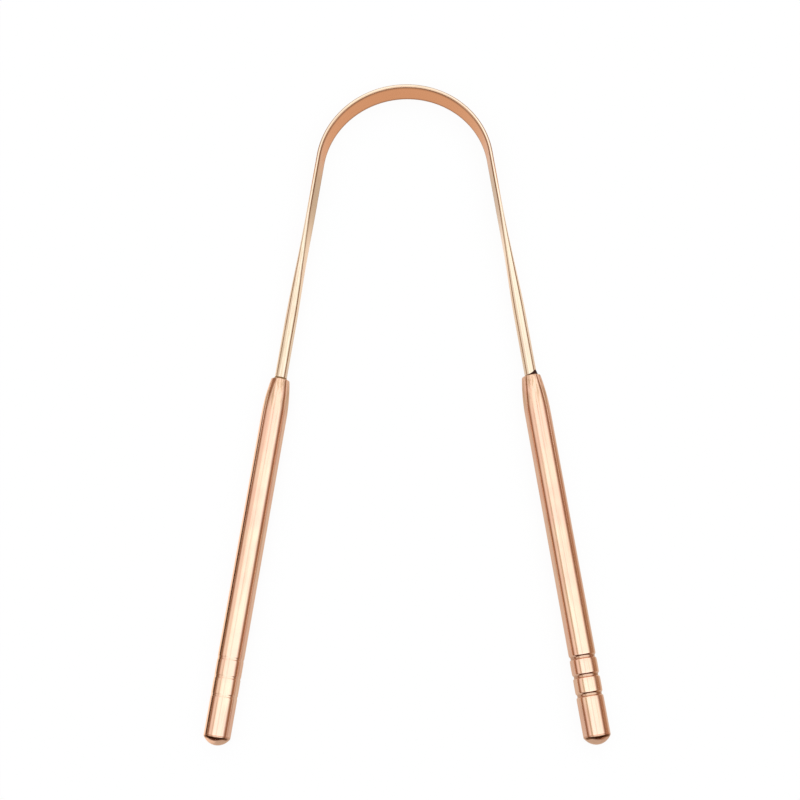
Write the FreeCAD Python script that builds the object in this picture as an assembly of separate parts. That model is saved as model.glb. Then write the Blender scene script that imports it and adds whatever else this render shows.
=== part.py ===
import FreeCAD, Part
import math
import os

# All lengths in mm, all angles in degrees. The scraper lies flat: the bow opens
# towards -Y, the crown is at +Y and the band stands on its edge along Z.

# Bow: one round wire, rolled flat in the middle and bent to a U.
wire_dia = 2.7
band_width = 5.68
band_thickness = 0.85
band_chamfer = 0.2  # broken corners of the flat edges
band_lean = 4.5  # the band's upper edge stands further out than its lower one
crown_radius = 20.1  # to the middle of the band
leg_splay = 8.6  # lean of each leg away from the centre line
flat_length = 11.5  # straight stretch of full-width band below the crown
swell_length = 28.5  # stretch in which the band turns back into round wire
swell_sections = 10
round_length = 13.8  # bare wire between the swell and the handle mouth
tang_length = 16.0  # wire inside the handle
tang_chamfer = 0.4

# Handle: a drawn tube with a swaged nose and rolled rings.
handle_length = 80.3  # mouth to the tip of the dome, along the handle
barrel_dia = 5.7
tube_wall = 0.5
nose_length = 8.5
mouth_dia = 4.15
mouth_chamfer = 0.3
mouth_land = 3.5  # length of the straight bore at the mouth
bond_gap = 0.15  # radial room for the sealing bead around the tang

# Rings rolled into the butt end of each handle.
ring_count = 3
ring_pitch = 3.9
ring_from_tip = 10.2  # ring nearest the end
ring_width = 1.0  # at the barrel
ring_floor = 0.44  # at the bottom
ring_depth = 0.28

# Domed plug that closes the tube.
dome_height = 1.8
dome_edge_radius = 0.85
dome_land = 0.25
plug_clearance = 0.02
plug_chamfer = 0.4
plug_to_ring = 2.0

# Sealing bead that bonds the tang in the mouth and shows as a dark line there.
bead_depth = 5.0
bead_reach = 0.4  # how far the bead spreads past the wire on the mouth
bead_inner_lip = 0.5  # height on the side towards the bow's middle
bead_outer_lip = {"left": 0.6, "right": 1.15}  # the right one is squeezed out more
bead_crest = 0.15  # taken off the lip by its slanted top

sides = {"left": -1, "right": 1}

splay = math.radians(leg_splay)
lean = math.radians(band_lean)
wire_r = wire_dia / 2
barrel_r = barrel_dia / 2
bore_r = barrel_r - tube_wall
mouth_r = mouth_dia / 2
mouth_bore_r = wire_r + bond_gap
leg_length = flat_length + swell_length + round_length
tube_length = handle_length - dome_height - dome_land
ring_top = handle_length - ring_from_tip - (ring_count - 1) * ring_pitch

# The dome is a wide cap and a tight edge arc, tangent to each other.
dome_reach = barrel_r - dome_edge_radius
dome_radius = (dome_reach**2 + dome_height**2 - dome_edge_radius**2) / (
    2 * (dome_height - dome_edge_radius)
)

# Half the height of the resting part, and the crown centre that puts the middle of
# the whole length on the origin.
edge_flat = band_thickness / 2 - band_chamfer
band_half_height = band_width / 2 * math.cos(lean) + edge_flat * math.sin(lean)
mid_z = max(band_half_height, barrel_r)
crown_to_top = (
    crown_radius + band_thickness / 2 * math.cos(lean) - band_chamfer * math.sin(lean)
)
crown_to_tip = (
    (leg_length + handle_length - dome_radius) * math.cos(splay)
    + dome_radius
    - crown_radius * math.sin(splay)
)
crown_y = (crown_to_tip - crown_to_top) / 2


def point(x, y, z=0.0):
    return FreeCAD.Vector(x, y, z)


def arc(a, b, c):
    return Part.Arc(a, b, c).toShape()


def line(a, b):
    return Part.makeLine(a, b)


def leg_place(side, along):
    """Frame on the leg: X away from the centre line, Z along the leg to the butt."""
    out = point(side * math.cos(splay), math.sin(splay))
    down = point(side * math.sin(splay), -math.cos(splay))
    start = point(0, crown_y, mid_z) + out * crown_radius
    turn = FreeCAD.Rotation(out, point(0, 0, side), down, "ZXY")
    return FreeCAD.Placement(start + down * along, turn)


def bulged(a, b, rise):
    """Edge from a to b, straight or bowed out to the right of the way it runs."""
    if rise == 0:
        return line(a, b)
    way = (b - a).normalize()
    return arc(a, (a + b) * 0.5 + point(way.y, -way.x) * rise, b)


def leg_section(share, side):
    """Eight-sided outline: share 0 is the flat band, leaning about its upper edge, and
    share 1 the round wire."""
    ease = share * share * (3 - 2 * share)
    eighth = math.pi / 4
    thick = band_thickness / 2
    wide = band_width / 2
    long_x = wire_r * math.cos(eighth / 2)
    short_x = wire_r * math.sin(eighth / 2)
    face_x = thick + (long_x - thick) * ease
    face_y = wide - band_chamfer + (short_x - wide + band_chamfer) * ease
    edge_x = thick - band_chamfer + (short_x - thick + band_chamfer) * ease
    edge_y = wide + (long_x - wide) * ease
    ring = [point(face_x, -face_y), point(face_x, face_y)]
    ring += [point(edge_x, edge_y), point(-edge_x, edge_y)]
    ring += [point(-c.x, -c.y) for c in ring]
    turn = side * lean * (1 - ease)
    inward = edge_y * math.sin(abs(turn))
    ring = [
        point(
            c.x * math.cos(turn) + c.y * math.sin(turn) - inward,
            c.y * math.cos(turn) - c.x * math.sin(turn),
        )
        for c in ring
    ]
    rise = ease * math.tan(eighth / 4) / 2
    pairs = zip(ring, ring[1:] + ring[:1])
    return Part.Wire([bulged(a, b, (b - a).Length * rise) for a, b in pairs])


def placed(shape, place):
    shape.Placement = place
    return shape


def spun(edges):
    """Solid of revolution about the handle axis from a closed outline."""
    face = Part.Face(Part.Wire(edges))
    return face.revolve(point(0, 0, 0), point(0, 0, 1), 360)


def chain(*points):
    return [line(a, b) for a, b in zip(points, points[1:])]


def crown():
    """The bent middle: the flat band carried round the crown's centre."""
    start = placed(Part.Face(leg_section(0, 1)), leg_place(1, 0))
    return start.revolve(point(0, crown_y, 0), point(0, 0, 1), 180 - 2 * leg_splay)


def leg(side):
    """Straight band, the swelling stretch and the round wire with its tang."""
    flat = Part.Face(leg_section(0, side)).extrude(point(0, 0, flat_length))
    rings = []
    for i in range(swell_sections + 1):
        share = i / swell_sections
        wire = leg_section(share, side)
        wire.translate(point(0, 0, flat_length + swell_length * share))
        rings.append(wire)
    swell = Part.makeLoft(rings, True, True)
    base = flat_length + swell_length
    rod = Part.makeCylinder(wire_r, round_length + tang_length, point(0, 0, base))
    rim = [e for e in rod.Edges if e.Closed and e.CenterOfMass.z > base + round_length]
    rod = rod.makeChamfer(tang_chamfer, rim)
    return [placed(shape, leg_place(side, 0)) for shape in (flat, swell, rod)]


def scraper_bow():
    pieces = leg(-1) + leg(1)
    return crown().fuse(pieces).removeSplitter()


def nose_radius(along):
    """Outer radius of the swaged nose, an arc that runs out tangent to the barrel."""
    drop = barrel_r - mouth_r
    bend = (nose_length**2 + drop**2) / (2 * drop)
    return barrel_r - bend + math.sqrt(bend**2 - (nose_length - along) ** 2)


def ring_outline(mid):
    """Corners of one ring: two slanted walls and a flat floor."""
    mouth = ring_width / 2
    floor = ring_floor / 2
    low = barrel_r - ring_depth
    return [
        point(barrel_r, 0, mid - mouth),
        point(low, 0, mid - floor),
        point(low, 0, mid + floor),
        point(barrel_r, 0, mid + mouth),
    ]


def handle_tube():
    """Tube from the mouth to the butt, swaged down around the tang at the nose."""
    lip = point(nose_radius(mouth_chamfer), 0, mouth_chamfer)
    middle = point(nose_radius(nose_length / 2), 0, nose_length / 2)
    shoulder = point(barrel_r, 0, nose_length)
    barrel = [shoulder]
    for i in range(ring_count):
        barrel += ring_outline(ring_top + i * ring_pitch)
    edges = [arc(lip, middle, shoulder)]
    edges += chain(
        *barrel,
        point(barrel_r, 0, tube_length),
        point(bore_r, 0, tube_length),
        point(bore_r, 0, nose_length),
        point(mouth_bore_r, 0, mouth_land),
        point(mouth_bore_r, 0, 0),
        point(mouth_r - mouth_chamfer, 0, 0),
        lip,
    )
    return spun(edges)


def end_plug():
    """Domed cap seated on the tube's end, with a spigot inside the bore."""
    spigot_r = bore_r - plug_clearance
    base = handle_length - ring_from_tip + ring_width / 2 + plug_to_ring
    cap_z = handle_length - dome_radius
    slope = math.asin(dome_reach / (dome_radius - dome_edge_radius))
    meet = point(dome_radius * math.sin(slope), 0, cap_z + dome_radius * math.cos(slope))
    half = slope / 2
    cap_mid = point(dome_radius * math.sin(half), 0, cap_z + dome_radius * math.cos(half))
    edge_z = handle_length - dome_height
    turn = (slope + math.pi / 2) / 2
    edge_mid = point(
        dome_reach + dome_edge_radius * math.sin(turn),
        0,
        edge_z + dome_edge_radius * math.cos(turn),
    )
    edges = [
        arc(point(0, 0, handle_length), cap_mid, meet),
        arc(meet, edge_mid, point(barrel_r, 0, edge_z)),
    ]
    edges += chain(
        point(barrel_r, 0, edge_z),
        point(barrel_r, 0, tube_length),
        point(spigot_r, 0, tube_length),
        point(spigot_r, 0, base + plug_chamfer),
        point(spigot_r - plug_chamfer, 0, base),
        point(0, 0, base),
        point(0, 0, handle_length),
    )
    return spun(edges)


def tang_bead(high):
    """Bond between tang and mouth, with a lip that rises towards the outer side."""
    flare = (bore_r - mouth_bore_r) / (nose_length - mouth_land)
    end_r = mouth_bore_r + flare * (bead_depth - mouth_land)
    reach_r = wire_r + bead_reach
    crest = -high - bead_crest
    edges = chain(
        point(wire_r, 0, crest),
        point(reach_r, 0, 0),
        point(mouth_bore_r, 0, 0),
        point(mouth_bore_r, 0, mouth_land),
        point(end_r, 0, bead_depth),
        point(wire_r, 0, bead_depth),
        point(wire_r, 0, crest),
    )
    rise = (high + bead_inner_lip) / 2
    slant = (high - bead_inner_lip) / wire_dia * barrel_r
    corners = chain(
        point(-barrel_r, -barrel_r, slant - rise),
        point(barrel_r, -barrel_r, -slant - rise),
        point(barrel_r, -barrel_r, bead_depth),
        point(-barrel_r, -barrel_r, bead_depth),
        point(-barrel_r, -barrel_r, slant - rise),
    )
    keep = Part.Face(Part.Wire(corners)).extrude(point(0, barrel_dia, 0))
    return spun(edges).common(keep)


os.makedirs("parts", exist_ok=True)
nodes = {"scraper_bow": scraper_bow()}
for name, side in sides.items():
    mouth = leg_place(side, leg_length)
    nodes[name + "_handle_tube"] = placed(handle_tube(), mouth)
    nodes[name + "_end_plug"] = placed(end_plug(), mouth)
    nodes[name + "_tang_bead"] = placed(tang_bead(bead_outer_lip[name]), mouth)

for name, shape in nodes.items():
    print(name, "valid" if shape.isValid() else "not valid", round(shape.Volume, 1), "mm3")
    shape.exportStep("parts/" + name + ".step")
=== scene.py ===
"""A copper tongue scraper: a wire bow rolled flat at its crown, between two tube handles.

Sizes are in millimetres and go into the meshes in metres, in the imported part's frame: the scraper
lies flat on the floor with its crown towards +Y and its handles towards -Y.
"""

import math

import bpy
import numpy as np
from mathutils import Matrix, Vector


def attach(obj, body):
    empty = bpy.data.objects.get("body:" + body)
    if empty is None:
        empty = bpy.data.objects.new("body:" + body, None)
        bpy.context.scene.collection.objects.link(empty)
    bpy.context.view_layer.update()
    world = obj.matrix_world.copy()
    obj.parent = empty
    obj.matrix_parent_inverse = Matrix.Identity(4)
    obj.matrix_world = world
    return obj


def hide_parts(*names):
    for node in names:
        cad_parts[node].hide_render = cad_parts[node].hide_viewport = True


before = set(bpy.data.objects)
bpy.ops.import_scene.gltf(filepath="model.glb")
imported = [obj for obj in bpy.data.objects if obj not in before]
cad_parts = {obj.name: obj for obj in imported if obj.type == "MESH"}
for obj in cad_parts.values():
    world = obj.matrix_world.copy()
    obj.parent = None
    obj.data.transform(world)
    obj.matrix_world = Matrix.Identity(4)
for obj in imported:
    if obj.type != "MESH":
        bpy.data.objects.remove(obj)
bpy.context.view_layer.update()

MM = 0.001
SHARP_BEND = math.radians(42)  # faces that meet at a steeper bend show an edge
DEEP_LEVEL, PAINTED_DARK = 1.0, 2.0  # levels of the tone attribute on metal: the deep tone in full, and the painted dark shade in full

# Bow
WIRE_R = 1.35
BAND_WIDTH = 5.68
BAND_THICKNESS = 0.85
BAND_CHAMFER = 0.26
CAD_CHAMFER = 0.2  # in the solids, where it sets how far out the crown's top lies
BAND_EDGE_R = 0.04
BAND_LEAN = math.radians(4.5)
CROWN_R = 20.1
SPLAY = math.radians(8.6)
FLAT_LENGTH = 11.5
SWELL_LENGTH = 28.5
ROUND_LENGTH = 13.8
TANG_LENGTH = 16.0
TANG_CHAMFER = 0.4
FACE_STOPS = (0, 0.4, 0.65, 0.85, 0.97)  # grid lines on half a face, in shares of it
EDGE_STOP = 0.25  # the same on half an edge
BOW_ROWS = (72, 8, 64, 20, 2)  # half the crown, flat, swell, round wire with tang, chamfer

# Painted shade on the bow's two faces, standing in for the darker reflection near the crown, in
# lengths from the crown's middle
PAINTED_SHADE_END = {"inner": 58, "outer": 46}
PAINTED_SHADE_FADE = {"inner": 22, "outer": 20}
EDGE_SHADE = 0.7  # painted shade added to it at a face's edge
EDGE_SHADE_DEPTH = 0.9  # how far that painted shade reaches from the edge into the face
# painted shade on the chamfers: a lighter level on the inner one, a dark line on the outer one
CHAMFER_SHADE = {"inner": 0.62, "outer": 1.6}
CHAMFER_TOP = 0.97  # share of the chamfer's height that takes its painted shade

# Handles
HANDLE_LENGTH = 80.3
BARREL_R = 2.85
BORE_R = 2.35
NOSE_LENGTH = 8.5
MOUTH_R = 2.075
MOUTH_ROUND = 0.26
MOUTH_LAND = 3.5
MOUTH_BORE_R = 1.5
SWAGE_DEPTH = 0.03
SWAGE_FADE = 1.5  # power by which the swage marks die out along the nose
SWAGE_LOBES = ((1, 7, 1), (0.6, 11, -1))  # strength, count round the nose, turn by side
HANDLE_COLUMNS = 96
LIP_ROWS = 8
NOSE_ROWS = 28
BARREL_ROWS = (24, 260, 6)  # before, across and past the rings

# Rings, counted from the mouth; the left ones are rolled less deeply
RING_COUNT = 3
RING_PITCH = 3.9
RING_FROM_TIP = 10.2
RING_FLOOR = 0.4
RING_UPPER_WALL = {"left": 0.14, "right": 0.38}
RING_LOWER_WALL = {"left": 0.14, "right": 0.24}
RING_DEPTH = {"left": 0.07, "right": 0.28}
RING_ROLL = 1.1
RING_ROLL_DEPTH = {"left": 0.01, "right": 0.05}

# Domed plugs
DOME_EDGE_R = 0.6
DOME_TIP_R = 3.2
DOME_TURNS = [math.radians(turn) for turn in (0, 35, 50, 90)]
DOME_LAND = 0.06
SEAM_BREAK = 0.05
SPIGOT_R = 2.33
SPIGOT_CHAMFER = 0.4
PLUG_TO_RING = 2.5
BUTT_R = 3.43  # cap of the dome in the solids, which sets where the whole length ends
DOME_ARC_ROWS = 16
DOME_TONE = 0.7
DOME_PAINTED_REFLECTION = (7, 20)  # rows of the dome that take a painted dark reflection on its upper side
DOME_UPPER = 0.2  # sine of the turn at which the upper side begins
DOME_UPPER_FADE = 0.4
DENT_DEPTH = 0.014
DENT_LENGTH = 1.3
DENT_WAVES = ((2, 3, 1), (1.6, 7, 0), (0.8, 13, 0))  # strength, count round it, turn by side

# Sealing beads
BEAD_DEPTH = 5.0
BEAD_REACH_R = 1.75
BEAD_END_R = 1.75
BEAD_BITE = 0.02  # how far the bond reaches into the wire and the mouth
BEAD_INNER_LIP = {"left": 0.46, "right": 0.3}
BEAD_OUTER_LIP = {"left": 0.52, "right": 1.35}
BEAD_THIN = {"left": 0.8, "right": 0.0}  # share of a thin bond's browner tone
BEAD_HOLLOW = 1.6  # power of the lip's hollow flank
BEAD_GATHER = 5
BEAD_TURN = math.radians(25)
BEAD_ROWS = 9
BEAD_COLUMNS = 72

# Camera
CAMERA_TURN = math.radians(10.167)
CAMERA_RISE = math.radians(74.615)
CAMERA_ROLL = math.radians(-10.57)
CAMERA_PLACE = Vector((13.823, -84.229, 311.533))
LENS = 64.993
SENSOR_WIDTH = 36.0
CLIP_START = 10.0

FLOOR_REACH = 3000.0
WHITE = (1, 1, 1, 1)
SIDES = {"left": -1, "right": 1}

leg_length = FLAT_LENGTH + SWELL_LENGTH + ROUND_LENGTH
half_crown = CROWN_R * (math.pi / 2 - SPLAY)
mid_z = BARREL_R
crown_to_tip = (leg_length + HANDLE_LENGTH - BUTT_R) * math.cos(SPLAY) + BUTT_R
crown_to_tip -= CROWN_R * math.sin(SPLAY)
crown_to_top = CROWN_R + BAND_THICKNESS / 2 * math.cos(BAND_LEAN)
crown_to_top -= CAD_CHAMFER * math.sin(BAND_LEAN)
crown_y = (crown_to_tip - crown_to_top) / 2

# The dome's arcs: the flank takes up what the edge and the tip leave of the barrel's radius.
dome_falls = -np.diff(np.cos(DOME_TURNS))
dome_rises = np.diff(np.sin(DOME_TURNS))
dome_flank_reach = BARREL_R - DOME_EDGE_R * dome_falls[0] - DOME_TIP_R * dome_falls[2]
dome_arcs = np.array([DOME_EDGE_R, dome_flank_reach / dome_falls[1], DOME_TIP_R])
dome_height = float(dome_arcs @ dome_rises)
tube_length = HANDLE_LENGTH - dome_height - DOME_LAND


def smooth(share):
    """Share cut to 0 to 1 and eased: three of its squares less two of its cubes."""
    share = np.clip(share, 0, 1)
    return share * share * (3 - 2 * share)


def along_bow(lay):
    """Carries (outward, up, along) onto the bow's middle line: an arc about the crown's centre
    for lengths within half the crown either way, and a straight leg tangent to it beyond."""
    outward, up, along = np.moveaxis(lay, -1, 0)
    side = np.sign(along)
    turn = np.pi / 2 - np.clip(along, -half_crown, half_crown) / CROWN_R
    beyond = np.maximum(np.abs(along) - half_crown, 0)
    reach = CROWN_R + outward
    x = reach * np.cos(turn) + beyond * side * math.sin(SPLAY)
    y = crown_y + reach * np.sin(turn) - beyond * math.cos(SPLAY)
    return np.stack([x, y, mid_z + up], -1)


def along_handle(side):
    """Carries (outward, up, along), measured from the mouth, onto one leg's straight line."""

    def carry(lay):
        shift = np.array([0, 0, half_crown + leg_length])
        return along_bow((lay + shift) * np.array([1, 1, side]))

    return carry


def skin(name, lay, carry, tone_level, finish, node, tips=None):
    """Closed skin over a grid of lay[row, column]. The columns run round and meet. The rows meet
    too, or else a fan from each of two tips closes the ends. The grid in its straightened form
    stays on the mesh as the attribute lay, in millimetres, for the patterns of its finish. One more
    attribute says how sunk, dull or thin each point is, and on the bow and the domes' upper sides
    how much painted shade it takes."""
    rows, columns = lay.shape[:2]
    index = np.arange(rows * columns).reshape(rows, columns)
    low, high = (index[:-1], index[1:]) if tips is not None else (index, np.roll(index, -1, 0))
    around = np.stack([low, np.roll(low, -1, 1), np.roll(high, -1, 1), high], -1).reshape(-1, 4)
    faces = [around]
    corners = [around[:, :3], around[:, [0, 2, 3]]]
    points = lay.reshape(-1, 3)
    depth = np.broadcast_to(tone_level, (rows, columns)).reshape(-1)
    if tips is not None:
        points = np.concatenate([points, tips])
        depth = np.concatenate([depth, depth[[0, -1]]])
        first, last = index[0], index[-1]
        near = np.full(columns, rows * columns)
        fans = [
            np.stack([near, np.roll(first, -1), first], -1),
            np.stack([near + 1, last, np.roll(last, -1)], -1),
        ]
        faces += fans
        corners += fans
    places = carry(points) * MM
    a, b, c = np.moveaxis(places[np.concatenate(corners)], 1, 0)
    if np.sum(a * np.cross(b, c)) < 0:
        faces = [face[:, ::-1] for face in faces]
    mesh = bpy.data.meshes.new(name)
    mesh.from_pydata(places.tolist(), [], [ring for face in faces for ring in face.tolist()])
    layout = mesh.attributes.new("lay", "FLOAT_VECTOR", "POINT")
    layout.data.foreach_set("vector", points.astype(np.float32).ravel())
    sunk_or_shaded = mesh.attributes.new("tone_level", "FLOAT", "POINT")
    sunk_or_shaded.data.foreach_set("value", depth.astype(np.float32))
    mesh.polygons.foreach_set("use_smooth", np.ones(len(mesh.polygons), bool))
    mesh.set_sharp_from_angle(angle=SHARP_BEND)
    mesh.materials.append(finish)
    piece = bpy.data.objects.new(name, mesh)
    bpy.context.scene.collection.objects.link(piece)
    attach(piece, "root")
    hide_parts(node)


def band_outline():
    """Outline of the flat band, a rectangle with chamfered corners, as (across, up) points: each
    straight run sits at its own distance out, and a small radius eases each bend."""
    thick, wide = BAND_THICKNESS / 2, BAND_WIDTH / 2
    shy = BAND_EDGE_R * math.tan(math.pi / 8)
    bend = np.linspace(0, np.pi / 4, 3)
    lower = [thick - BAND_EDGE_R, wide - BAND_CHAMFER - shy]
    upper = [thick - BAND_CHAMFER - shy, wide - BAND_EDGE_R]
    arc = BAND_EDGE_R * np.stack([np.cos(bend), np.sin(bend)], -1)
    corner = np.concatenate([lower + arc, upper + arc[::-1, ::-1]])
    face = [[thick, lower[1] * share] for share in FACE_STOPS]
    quarter = np.concatenate([face, corner, [[thick * EDGE_STOP, wide]]])
    mirror = quarter[:0:-1] * np.array([-1, 1])
    half = np.concatenate([quarter, [[0, wide]], mirror])
    return np.concatenate([half, -half])


def painted_bow_shade(band, along):
    """Painted shade on each point of the bow: 1 on its faces near the crown, for the darker
    reflection that they show there, more towards their edges as painted shade lines, another level
    on the chamfers, and all of it eased out along the legs."""
    past_face = np.abs(band[:, 1]) - BAND_WIDTH / 2 + BAND_CHAMFER
    face_shade = DEEP_LEVEL + EDGE_SHADE * smooth(1 + past_face / EDGE_SHADE_DEPTH)
    on_chamfer = past_face < BAND_CHAMFER * CHAMFER_TOP
    shade_level = np.zeros((len(along), len(band)))
    for face, here in ("inner", band[:, 0] < 0), ("outer", band[:, 0] >= 0):
        fade = smooth((PAINTED_SHADE_END[face] - np.abs(along)) / PAINTED_SHADE_FADE[face])
        shaded = np.where(past_face < 0, face_shade, on_chamfer * CHAMFER_SHADE[face])
        shade_level += fade[:, None] * shaded * here
    return shade_level


def bow(finish):
    """The band's outline, turned about its upper edge by its lean, carried along the bow. Down
    each leg it eases into an upright circle, point by point; the tang's end is chamfered."""
    end = half_crown + leg_length + TANG_LENGTH
    swell = half_crown + FLAT_LENGTH
    stops = [0, half_crown, swell, swell + SWELL_LENGTH, end - TANG_CHAMFER, end]
    spans = zip(stops, stops[1:], BOW_ROWS)
    runs = [np.linspace(start, stop, rows, endpoint=False) for start, stop, rows in spans]
    half = np.append(np.concatenate(runs), end)
    along = np.concatenate([-half[:0:-1], half])
    band = band_outline()
    turn = np.arange(len(band)) * 2 * np.pi / len(band)
    wire = WIRE_R * np.stack([np.cos(turn), np.sin(turn)], -1)
    ease = smooth((np.abs(along) - swell) / SWELL_LENGTH)[:, None, None]
    section = band * (1 - ease) + wire * ease
    lean = BAND_LEAN * (1 - ease[..., 0])
    across, up = section[..., 0], section[..., 1]
    inward = up.max(1, keepdims=True) * np.sin(lean)
    leaned = across * np.cos(lean) + up * np.sin(lean) - inward
    section = np.stack([leaned, up * np.cos(lean) - across * np.sin(lean)], -1)
    past = np.maximum(np.abs(along) - end + TANG_CHAMFER, 0)[:, None, None]
    section = section * (1 - past / WIRE_R)
    length = np.broadcast_to(along[:, None, None], section.shape[:2] + (1,))
    lay = np.concatenate([section, length], -1)
    tips = np.array([[0, 0, -end], [0, 0, end]])
    # painted shade on the bow's faces and chamfers
    shade_level = painted_bow_shade(band, along)
    skin("polished_bow", lay, along_bow, shade_level, finish, "scraper_bow", tips)


def spun(profile, columns=HANDLE_COLUMNS):
    """Profile of (radius, along) rows carried round the handle's axis."""
    turn = np.arange(columns) * 2 * np.pi / columns
    radius, along = profile[:, :1], profile[:, 1:]
    length = np.broadcast_to(along, (len(profile), columns))
    return np.stack([radius * np.cos(turn), radius * np.sin(turn), length], -1), turn


def waves(terms, turn, side):
    """Sum of cosines round the handle: each term has a strength, a count round it and the share
    of the side, -1 or 1, by which it is turned."""
    return sum(high * np.cos(count * turn + share * side) for high, count, share in terms)


def ring_drop(along, name):
    """Depth of the rolled rings at a length: a flat floor between two slanted walls, the one
    towards the mouth less steep, with a shallow roll of the barrel down to each of them."""
    first = HANDLE_LENGTH - RING_FROM_TIP - (RING_COUNT - 1) * RING_PITCH
    middles = first + np.arange(RING_COUNT) * RING_PITCH
    offsets = along[:, None] - middles
    offset = np.take_along_axis(offsets, np.abs(offsets).argmin(1)[:, None], 1)[:, 0]
    past = np.abs(offset) - RING_FLOOR / 2
    wall = np.where(offset < 0, RING_UPPER_WALL[name], RING_LOWER_WALL[name])
    groove = RING_DEPTH[name] * (1 - np.clip(past / wall, 0, 1))
    roll = RING_ROLL_DEPTH[name] * (1 - np.clip(past / RING_ROLL, 0, 1)) ** 2
    return np.maximum(groove, roll)


def handle_tube(name, finish):
    """Closed tube outline spun about the axis: rolled lip, nose arc tangent to the barrel, rings,
    butt face and bore. Shallow lobes round the nose fade out towards the barrel."""
    side = SIDES[name]
    drop = BARREL_R - MOUTH_R
    bend = (NOSE_LENGTH**2 + drop**2) / (2 * drop)
    lip = np.linspace(0, np.pi / 2, LIP_ROWS)
    nose = np.linspace(MOUTH_ROUND, NOSE_LENGTH, NOSE_ROWS)
    nose_r = BARREL_R - bend + np.sqrt(bend**2 - (NOSE_LENGTH - nose) ** 2)
    lip_r = nose_r[0] - MOUTH_ROUND * (1 - np.sin(lip))
    lip_along = MOUTH_ROUND * (1 - np.cos(lip))
    ring_from = HANDLE_LENGTH - RING_FROM_TIP - RING_COUNT * RING_PITCH
    ring_to = HANDLE_LENGTH - RING_FROM_TIP + RING_PITCH / 2
    before, across, past = BARREL_ROWS
    barrel = np.concatenate(
        [
            np.linspace(NOSE_LENGTH, ring_from, before)[1:-1],
            np.linspace(ring_from, ring_to, across),
            np.linspace(ring_to, tube_length - SEAM_BREAK, past)[1:],
        ]
    )
    sunk_or_shaded = ring_drop(barrel, name)
    outer = [
        np.stack([lip_r, lip_along], -1),
        np.stack([nose_r, nose], -1)[1:],
        np.stack([BARREL_R - sunk_or_shaded, barrel], -1),
    ]
    inner = [
        [BARREL_R - SEAM_BREAK, tube_length],
        [BORE_R, tube_length],
        [BORE_R, NOSE_LENGTH],
        [MOUTH_BORE_R, MOUTH_LAND],
        [MOUTH_BORE_R, 0],
    ]
    profile = np.concatenate([*outer, np.array(inner)])
    lay, turn = spun(profile)
    outside = (np.arange(len(profile)) < len(profile) - len(inner))[:, None]
    fade = np.clip(1 - profile[:, 1:] / NOSE_LENGTH, 0, 1) ** SWAGE_FADE * outside
    lobes = 1 + waves(SWAGE_LOBES, turn, side)
    lay[..., :2] *= (1 - SWAGE_DEPTH * fade * lobes / profile[:, :1])[..., None]
    tone_level = np.zeros(len(profile))
    start = len(lip) + len(nose) - 1
    tone_level[start : start + len(barrel)] = DEEP_LEVEL * sunk_or_shaded / RING_DEPTH["right"]
    skin(
        name + "_barrel",
        lay,
        along_handle(side),
        tone_level[:, None],
        finish,
        name + "_handle_tube",
    )


def end_plug(name, finish):
    """Dome outline spun about the axis: three arcs tangent to each other, a tight edge, a wide
    flank and a rounded tip, each laid off from where the last one ends. A short land meets the
    tube's end and a chamfered spigot sits inside the bore. Shallow waves round the dome are its
    dents."""
    side = SIDES[name]
    base = HANDLE_LENGTH - RING_FROM_TIP + PLUG_TO_RING
    inside = np.array(
        [
            [SPIGOT_R - SPIGOT_CHAMFER, base],
            [SPIGOT_R, base + SPIGOT_CHAMFER],
            [SPIGOT_R, tube_length],
            [BARREL_R - SEAM_BREAK, tube_length],
        ]
    )
    lean = np.linspace(DOME_TURNS[:-1], DOME_TURNS[1:], DOME_ARC_ROWS, axis=1)
    fall = dome_arcs[:, None] * (np.cos(lean[:, :1]) - np.cos(lean))
    rise = dome_arcs[:, None] * (np.sin(lean) - np.sin(lean[:, :1]))
    earlier = np.tri(len(dome_arcs), k=-1)  # row by row, the arcs that come before each one
    fall += (earlier @ fall[:, -1])[:, None]
    rise += (earlier @ rise[:, -1])[:, None]
    start = HANDLE_LENGTH - dome_height
    arcs = np.stack([BARREL_R - fall, start + rise], -1)
    dome = np.concatenate([arcs[0], arcs[1, 1:], arcs[2, 1:-1]])
    profile = np.concatenate([inside, dome])
    lay, turn = spun(profile)
    reach = BARREL_R - profile[:, :1]
    phase = reach * 2 * np.pi / DENT_LENGTH + waves(DENT_WAVES, turn, side)
    dents = DENT_DEPTH * (1 + np.cos(phase)) / 2
    inside_rows = np.arange(len(profile))[:, None] < len(inside)
    lay[..., 2] -= np.where(inside_rows, 0, dents * smooth(reach / DENT_LENGTH))
    tips = np.array([[0, 0, base], [0, 0, HANDLE_LENGTH - DENT_DEPTH]])
    tone_level = np.full(lay.shape[:2], DOME_TONE)
    # a painted dark reflection across the dome's upper side, on some of its rows
    upper = smooth((np.sin(turn) - DOME_UPPER) / DOME_UPPER_FADE)
    tone_level[len(inside) :][slice(*DOME_PAINTED_REFLECTION)] += (PAINTED_DARK - DOME_TONE) * upper
    carry = along_handle(side)
    skin(name + "_dome", lay, carry, tone_level, finish, name + "_end_plug", tips)


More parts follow.
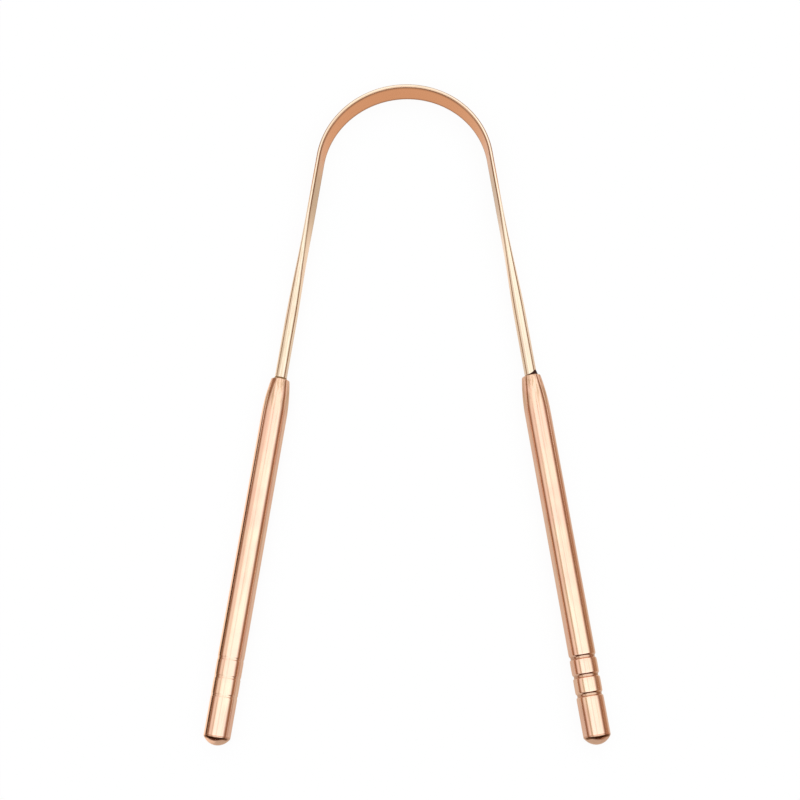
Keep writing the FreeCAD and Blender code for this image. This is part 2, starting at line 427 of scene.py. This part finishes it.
def tang_bead(name, finish):
    """Bond between tang and mouth: a closed outline spun about the axis, whose lip climbs the
    wire by a power of one plus the cosine round it, highest on the outer side."""
    climb = np.linspace(0, 1, BEAD_ROWS)
    hollow = (1 - climb) ** BEAD_HOLLOW
    wire_r = WIRE_R - BEAD_BITE
    lip_r = wire_r + (BEAD_REACH_R - WIRE_R) * climb
    below = np.array(
        [
            [BEAD_REACH_R, BEAD_BITE],
            [MOUTH_BORE_R, BEAD_BITE],
            [MOUTH_BORE_R, MOUTH_LAND],
            [BEAD_END_R, BEAD_DEPTH],
            [wire_r, BEAD_DEPTH],
        ]
    )
    profile = np.concatenate([np.stack([lip_r, 0 * climb], -1), below])
    lay, turn = spun(profile, BEAD_COLUMNS)
    lift = BEAD_OUTER_LIP[name] - BEAD_INNER_LIP[name]
    height = BEAD_INNER_LIP[name] + lift * ((1 + np.cos(turn - BEAD_TURN)) / 2) ** BEAD_GATHER
    lay[: len(climb), :, 2] = -height * hollow[:, None]
    carry = along_handle(SIDES[name])
    thin = BEAD_THIN[name]
    skin(name + "_bond", lay, carry, thin, finish, name + "_tang_bead")


class Value:
    """A node's output. Sums, differences and products with it add Math nodes."""

    def __init__(self, tree, socket):
        self.tree, self.socket = tree, socket

    def math(self, operation, first, second):
        return self.tree.node("ShaderNodeMath", {"operation": operation}, {0: first, 1: second})

    def __add__(self, other):
        return self.math("ADD", self, other)

    def __sub__(self, other):
        return self.math("SUBTRACT", self, other)

    def __mul__(self, other):
        return self.math("MULTIPLY", self, other)

    def __rsub__(self, other):
        return self.math("SUBTRACT", other, self)

    __radd__ = __add__
    __rmul__ = __mul__


class Tree:
    """The node tree of a material or a world."""

    def __init__(self, owner):
        owner.use_nodes = True
        self.nodes, self.links = owner.node_tree.nodes, owner.node_tree.links
        self.nodes.clear()

    def node(self, kind, settings=None, inputs=None, out=0):
        """Adds a node: its settings first, then the values or links of its sockets."""
        made = self.nodes.new(kind)
        for key, setting in (settings or {}).items():
            setattr(made, key, setting)
        for key, value in (inputs or {}).items():
            if isinstance(value, Value):
                self.links.new(value.socket, made.inputs[key])
            else:
                made.inputs[key].default_value = value
        return Value(self, made.outputs[out]) if made.outputs else None

    def attribute(self, name, out):
        """One of the attributes that skin leaves on a mesh."""
        return self.node("ShaderNodeAttribute", {"attribute_name": name}, None, out)

    def ray(self, kind):
        """1 for rays of one kind and 0 for all others."""
        return self.node("ShaderNodeLightPath", None, None, kind)

    def axes(self, vector, names):
        """The named components of a vector."""
        return [self.node("ShaderNodeSeparateXYZ", None, {0: vector}, name) for name in names]

    def blend(self, share, first, second):
        """Colour between two colours."""
        sockets = {0: share, 6: first, 7: second}
        return self.node("ShaderNodeMix", {"data_type": "RGBA"}, sockets, 2)

    def eased(self, value, low, high):
        """0 at low, 1 at high, which may be the lesser one, and a smooth step between them."""
        settings = {"interpolation_type": "SMOOTHSTEP"}
        sockets = {"Value": value, "From Min": low, "From Max": high}
        return self.node("ShaderNodeMapRange", settings, sockets)

    def noise(self, vector, scale, detail=2.0, roughness=0.5, distortion=0.0):
        sockets = {"Vector": vector, "Scale": scale, "Detail": detail}
        sockets |= {"Roughness": roughness, "Distortion": distortion}
        return self.node("ShaderNodeTexNoise", None, sockets)

    def scaled(self, vector, factors):
        sockets = {0: vector, 1: factors}
        return self.node("ShaderNodeVectorMath", {"operation": "MULTIPLY"}, sockets)

    def bump(self, height, strength, distance):
        sockets = {"Strength": strength, "Distance": distance, "Height": height}
        return self.node("ShaderNodeBump", None, sockets)

    def finish(self, sockets):
        """Ends a material with a Principled shader."""
        shader = self.node("ShaderNodeBsdfPrincipled", None, sockets)
        self.node("ShaderNodeOutputMaterial", None, {"Surface": shader})


def grey(level):
    return (level, level, level, 1)


def polished_copper(name, rosy, golden, drawn, deep, painted_leg_shade, share):
    """Polished copper: a base between a rosy and a golden tone in soft patches, dull smudges and
    fine lines along the piece from drawing and buffing, denser near a handle's mouth and on the
    bow's left half. What is sunk or rubbed less has a deeper tone. The bow near its crown has the
    same deeper tone as painted shade, which turns into a painted khaki shade on the inner faces
    further along. Above the deep tone's level a painted dark shade takes over."""
    material = bpy.data.materials.new(name)
    tree = Tree(material)
    streak_tone = (0.46, 0.28, 0.14, 1)
    # painted dark tone: shade lines on the bow's face edges and outer chamfers, and a dark
    # reflection across the domes' upper sides
    painted_dark_tone = (0.2, 0.085, 0.04, 1)
    line_stretch, hair_stretch = (1, 1, 0.03), (1, 1, 0.08)
    # where the painted khaki shade on the bow's inner faces begins and where it is full
    leg_shade_from, leg_shade_full = 25.0, 36.0
    lay = tree.attribute("lay", "Vector")
    tone_level = tree.attribute("tone_level", "Fac")
    across, along = tree.axes(lay, "XZ")
    patches = tree.eased(tree.noise(lay, scale=0.16), 0.3, 0.7)
    smudge_noise = tree.noise(lay, scale=0.3, detail=3.0, roughness=0.55, distortion=0.8)
    smudges = tree.eased(smudge_noise, 0.5, 0.75)
    lines = tree.noise(tree.scaled(lay, line_stretch), scale=2.4, detail=4.0, roughness=0.65)
    hairs = tree.noise(tree.scaled(lay, hair_stretch), scale=11.0)
    # share of the deep tone: on the handles where sunk or rubbed less, on the bow painted shade
    sunk_or_shaded = tree.eased(tone_level, 0.1, DEEP_LEVEL) * share
    near = tree.eased(along, 14.0, 1.0)
    streaks = tree.eased(lines - near * 0.07, 0.47, 0.37) * (0.7 + near * 1.3) * drawn
    inner = tree.eased(across, -0.15, -0.35)
    further = tree.eased(along * along, leg_shade_from**2, leg_shade_full**2)
    tone = tree.blend(patches, rosy, golden)
    tone = tree.blend(streaks, tone, streak_tone)
    tone = tree.blend(sunk_or_shaded, tone, tree.blend(further * inner, deep, painted_leg_shade))
    tone = tree.blend(tree.eased(tone_level, DEEP_LEVEL, PAINTED_DARK), tone, painted_dark_tone)
    tree.finish(
        {
            "Base Color": tone,
            "Metallic": 1.0,
            "Roughness": 0.1 + smudges * 0.08 + hairs * 0.06 + sunk_or_shaded * 0.1,
            "Specular Tint": (1, 0.86, 0.74, 1),
            "Normal": tree.bump(lines * 0.7 + hairs * 0.3, strength=0.5, distance=4e-6),
        }
    )
    return material


def dark_bond(name):
    """Dark bond: nearly black resin, browner and duller in grains and where it is thin."""
    material = bpy.data.materials.new(name)
    tree = Tree(material)
    black, brown = (0.025, 0.004, 0.002, 1), (0.06, 0.015, 0.006, 1)
    thin_tone = (0.26, 0.14, 0.05, 1)
    grains = tree.noise(tree.attribute("lay", "Vector"), scale=3.5, detail=3.0, roughness=0.6)
    tone = tree.blend(tree.eased(grains, 0.4, 0.7), black, brown)
    tone = tree.blend(tree.attribute("tone_level", "Fac"), tone, thin_tone)
    tree.finish(
        {
            "Base Color": tone,
            "Roughness": 0.45 + grains * 0.3,
            "Specular IOR Level": 0.15,
            "Normal": tree.bump(grains, strength=0.6, distance=4e-5),
        }
    )
    return material


def seen_directly(tree, outright, by_way):
    """One share for rays from the camera, another for those by way of metal or glass, and none
    for light on things."""
    rays = ("Is Camera Ray", "Is Glossy Ray", "Is Transmission Ray")
    camera, glossy, passing = (tree.ray(kind) for kind in rays)
    bounced = camera.math("MAXIMUM", glossy, passing) * by_way
    return camera.math("MAXIMUM", camera * outright, bounced)


def white_floor():
    """A wide flat sheet of pale ground that stays white in the picture and keeps a faint shadow.
    Metal sees painted light and shade on it: brighter close by the left handle's outer side, dimmer
    to the right of that and plain from the mouths to the back, and three painted shadow patches, a
    dark one left of the left handle and a softer brown one right of each. They lie along the
    handles and draw dark lines near their edges. Distances are in millimetres out from a handle's
    axis."""
    mesh = bpy.data.meshes.new("floor")
    reach = FLOOR_REACH * MM
    corners = [(-reach, -reach, 0), (reach, -reach, 0), (reach, reach, 0), (-reach, reach, 0)]
    mesh.from_pydata(corners, [], [(0, 1, 2, 3)])
    material = bpy.data.materials.new("pale_ground")
    tree = Tree(material)
    # painted shadow tones, which only reflections see
    painted_dark_patch, painted_brown_patch = (0.1, 0.06, 0.03, 1), (0.46, 0.3, 0.2, 1)
    far_edge = (400.0, 300.0)

    def strip(out, near, far):
        """1 between two soft edges, each given from where it is 0 to where it is 1."""
        return tree.eased(out, *near) * tree.eased(out, *far)

    place = tree.node("ShaderNodeTexCoord", None, None, "Object")
    x, y = tree.axes(tree.scaled(place, (1 / MM, 1 / MM, 1 / MM)), "XY")
    shift = y * math.sin(SPLAY) - (crown_y * math.sin(SPLAY) + CROWN_R)
    left, right = shift - x * math.cos(SPLAY), shift + x * math.cos(SPLAY)
    # painted shadow strips beside the handles, and painted brighter and dimmer ground by the left
    # one, seen only by metal
    between = strip(left, (-45.0, -30.0), (-10.0, -20.0)) * 0.6
    beside = strip(right, (5.0, 16.0), far_edge)
    tone = tree.blend(tree.eased(left, 0.0, 4.0), grey(0.76), grey(1.2))
    tone = tree.blend(strip(left, (10.0, 15.0), far_edge), tone, painted_dark_patch)
    tone = tree.blend(between + beside, tone, painted_brown_patch)
    tone = tree.blend(tree.eased(y, -10.0, 30.0), tone, grey(1.03))
    tone = tree.blend(tree.ray("Is Camera Ray"), tone, WHITE)
    paper = tree.node("ShaderNodeBsdfDiffuse", None, {"Color": (0.95, 0.88, 0.84, 1)})
    white = tree.node("ShaderNodeEmission", None, {"Color": tone, "Strength": 1.0})
    share = seen_directly(tree, outright=0.93, by_way=1.0)
    both = tree.node("ShaderNodeMixShader", None, {0: share, 1: paper, 2: white})
    tree.node("ShaderNodeOutputMaterial", None, {"Surface": both})
    mesh.materials.append(material)
    floor = bpy.data.objects.new("floor", mesh)
    bpy.context.scene.collection.objects.link(floor)


def studio_light():
    """A soft white dome, dimmer towards the back, over a warm surround. To the right the dome
    comes down to about a third of the way up; to the left a dimmer panel hangs under it, with a
    seam between them; towards the handles' ends the surround is darker, and a thin gap runs
    overhead from front to back. Metal shows these as lines beside its wide highlights. Limits are
    components of the way that a ray takes, which has a length of 1."""
    world = bpy.data.worlds.new("studio")
    bpy.context.scene.world = world
    tree = Tree(world)
    front_dome, back_dome = (1.42, 1.66, 1.82, 1), (1.32, 1.44, 1.52, 1)
    shade, front_shade = (0.34, 0.21, 0.14, 1), (0.1, 0.04, 0.02, 1)
    panel, seam_tone = WHITE, (0.6, 0.58, 0.46, 1)
    way = tree.node("ShaderNodeTexCoord", None, None, "Generated")
    x, y, z = tree.axes(way, "XYZ")
    dome = tree.blend(tree.eased(y, 0.0, 0.3), front_dome, back_dome)
    ahead = tree.eased(y, -0.35, -0.65)
    low = tree.blend(ahead, shade, front_shade)
    right = tree.blend(tree.eased(z, 0.26, 0.66), low, dome)
    left = tree.blend(tree.eased(z, 0.2, 0.5), low, panel)
    seam = tree.eased(z, 0.64, 0.72) * tree.eased(y, 0.16, 0.04)
    left = tree.blend(seam, left, seam_tone)
    left = tree.blend(tree.eased(z, 0.78, 0.88), left, dome)
    around = tree.blend(tree.eased(x, -0.42, -0.18), left, right)
    front = tree.blend(tree.eased(z, 0.4, 0.6), low, dome)
    colour = tree.blend(ahead, around, front)
    gap = tree.eased(x * x, 0.006, 0.001) * tree.eased(z, 0.85, 0.92)
    colour = tree.blend(gap * 0.3, colour, shade)
    colour = tree.blend(tree.ray("Is Camera Ray"), colour, WHITE)
    shine = tree.node("ShaderNodeBackground", None, {"Color": colour, "Strength": 1.0})
    tree.node("ShaderNodeOutputWorld", None, {"Surface": shine})


def photo_camera():
    """Camera at the photograph's angle, leaning over the handles and turned a little about its
    own axis."""
    level = Vector((math.cos(CAMERA_TURN), math.sin(CAMERA_TURN), 0))
    forward = Vector((-math.sin(CAMERA_TURN), math.cos(CAMERA_TURN), 0))
    ahead = forward * math.cos(CAMERA_RISE) - Vector((0, 0, math.sin(CAMERA_RISE)))
    above = level.cross(ahead)
    right = level * math.cos(CAMERA_ROLL) + above * math.sin(CAMERA_ROLL)
    up = above * math.cos(CAMERA_ROLL) - level * math.sin(CAMERA_ROLL)
    data = bpy.data.cameras.new("camera")
    data.sensor_width = SENSOR_WIDTH
    data.lens = LENS
    data.clip_start = CLIP_START * MM
    camera = bpy.data.objects.new("camera", data)
    axes = Matrix((right, up, -ahead)).transposed().to_4x4()
    camera.matrix_world = Matrix.Translation(CAMERA_PLACE * MM) @ axes
    bpy.context.scene.collection.objects.link(camera)
    bpy.context.scene.camera = camera


photo_camera()
studio_light()
white_floor()

# the bow's deep and khaki tones are painted shade
bow_copper = polished_copper(
    "bow_copper",
    rosy=(0.83, 0.63, 0.47, 1),
    golden=(0.85, 0.67, 0.49, 1),
    drawn=0.15,
    deep=(0.62, 0.265, 0.122, 1),
    painted_leg_shade=(0.42, 0.285, 0.165, 1),
    share=0.95,
)
handle_copper = polished_copper(
    "handle_copper",
    rosy=(0.9, 0.54, 0.39, 1),
    golden=(0.92, 0.6, 0.42, 1),
    drawn=0.35,
    deep=(0.34, 0.15, 0.07, 1),
    painted_leg_shade=(0.34, 0.15, 0.07, 1),
    share=0.45,
)
bond = dark_bond("mouth_bond")

bow(bow_copper)
for handle in SIDES:
    handle_tube(handle, handle_copper)
    end_plug(handle, handle_copper)
    tang_bead(handle, bond)

bpy.context.scene.view_settings.view_transform = "Standard"
